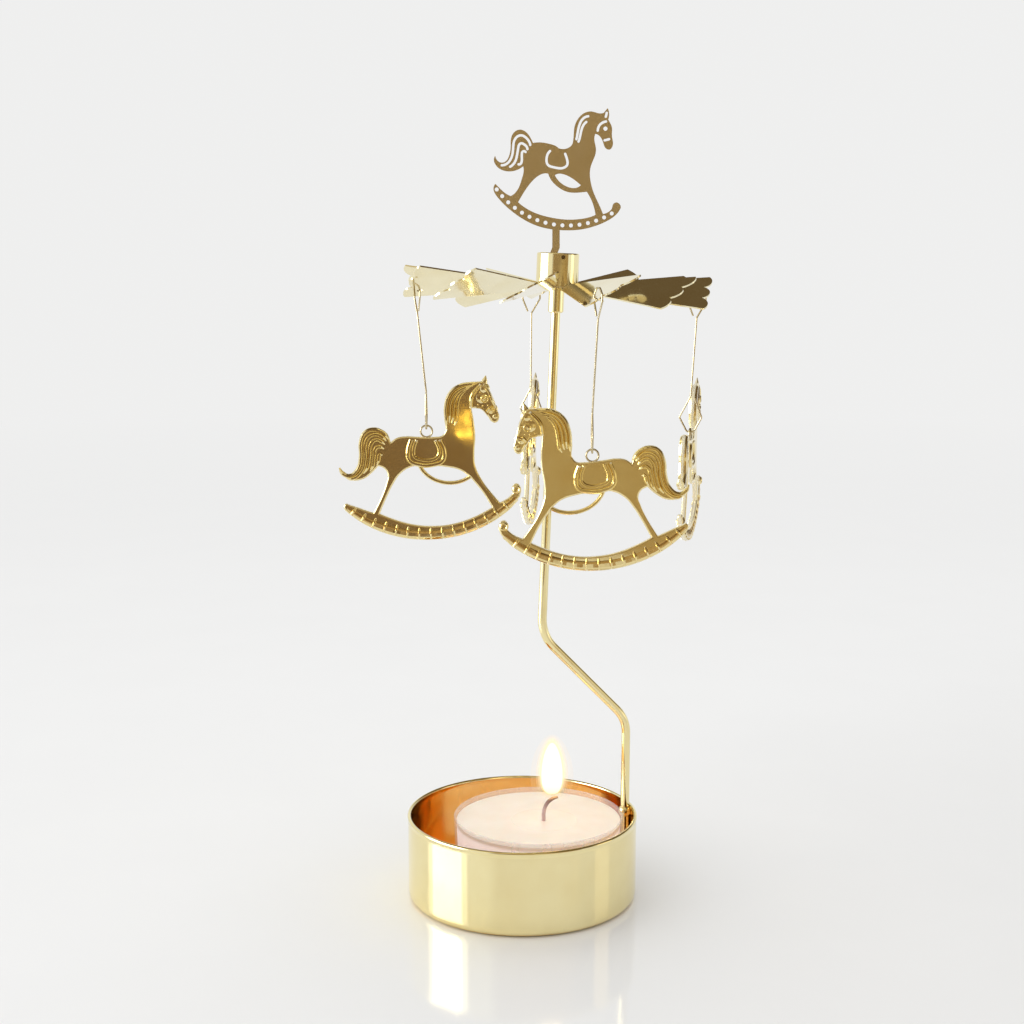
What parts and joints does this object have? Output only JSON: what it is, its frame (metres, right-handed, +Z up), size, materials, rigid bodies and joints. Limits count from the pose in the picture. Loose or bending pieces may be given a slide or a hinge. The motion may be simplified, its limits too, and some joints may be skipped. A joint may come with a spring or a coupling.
{
  "type": "rotary candle carousel",
  "caption": "Gold tea-light carousel: a round cup with a bent rod whose point carries a bladed wheel, hanging rocking horses and a flat horse on top.",
  "frame": {"origin": "centre of the candle cup's flat bottom", "axes": "+Z up, +X to the right and +Y to the rear of the pictured front"},
  "size_m": [0.0825, 0.0832, 0.176],
  "materials": {
    "champagne_gold": "polished gold plate",
    "mirror_gold": "mirror-bright plated sheet",
    "horse_gold": "plated casting with polished flats",
    "gold_wire": "bright drawn wire",
    "bearing_brass": "turned",
    "clear_cup": "clear moulded",
    "cream_wax": "soft wax",
    "cotton_wick": "charred braid",
    "tin_plate": "tinned sheet"
  },
  "bodies": {
    "base": {"candle_cup": "champagne_gold", "support_rod": "champagne_gold", "rod_weld": "champagne_gold"},
    "rotor": {"bearing_cup": "bearing_brass", "hub_cap": "champagne_gold", "hub_sleeve": "champagne_gold", "blade_wheel": "mirror_gold", "top_horse": "mirror_gold", "stem_pin": "champagne_gold"},
    "tealight": {"tealight_cup": "clear_cup", "tealight_wax": "cream_wax", "wick": "cotton_wick", "wick_sustainer": "tin_plate"},
    "hanger_front": {"hook_wire_front": "gold_wire"},
    "pony_front": {"horse_front": "horse_gold"},
    "hanger_right": {"hook_wire_right": "gold_wire"},
    "pony_right": {"horse_right": "horse_gold"},
    "hanger_back": {"hook_wire_back": "gold_wire"},
    "pony_back": {"horse_back": "horse_gold"},
    "hanger_left": {"hook_wire_left": "gold_wire"},
    "pony_left": {"horse_left": "horse_gold"}
  },
  "joints": [
    {"name": "rotor_spin", "type": "hinge", "parent": "base", "child": "rotor", "pos_m": [0.0074, 0.001, 0.13815], "axis": [0.0402, 0.0246, 0.9989], "continuous": true},
    {"name": "front_swing", "type": "hinge", "parent": "rotor", "child": "hanger_front", "pos_m": [0.01485, -0.03044, 0.13695], "axis": [-0.9471, -0.3208, 0], "range_deg": [-8, 20]},
    {"name": "front_rock", "type": "hinge", "parent": "hanger_front", "child": "pony_front", "pos_m": [0.01395, -0.02864, 0.10585], "axis": [0, -1, 0], "range_deg": [-15, 15]},
    {"name": "right_swing", "type": "hinge", "parent": "rotor", "child": "hanger_right", "pos_m": [0.03871, 0.00845, 0.13503], "axis": [0.3204, -0.9473, 0], "range_deg": [-8, 20]},
    {"name": "right_rock", "type": "hinge", "parent": "hanger_right", "child": "pony_right", "pos_m": [0.03771, 0.00845, 0.10563], "axis": [-0.9781, 0.2079, 0], "range_deg": [-15, 15]},
    {"name": "back_swing", "type": "hinge", "parent": "rotor", "child": "hanger_back", "pos_m": [0.00224, 0.03089, 0.13489], "axis": [0.3204, -0.9473, 0], "range_deg": [-10, 10]},
    {"name": "back_rock", "type": "hinge", "parent": "hanger_back", "child": "pony_back", "pos_m": [0.00214, 0.03089, 0.10529], "axis": [-0.9954, 0.0958, 0], "range_deg": [-15, 15]},
    {"name": "left_swing", "type": "hinge", "parent": "rotor", "child": "hanger_left", "pos_m": [-0.02265, -0.00409, 0.13675], "axis": [0.9471, 0.3208, 0], "range_deg": [-10, 10]},
    {"name": "left_rock", "type": "hinge", "parent": "hanger_left", "child": "pony_left", "pos_m": [-0.02085, -0.00509, 0.10795], "axis": [0, 1, 0], "range_deg": [-15, 15]},
    {"name": "tealight_lift", "type": "slide", "parent": "base", "child": "tealight", "axis": [0, 0, 1], "range_m": [0, 0.0195]}
  ]
}
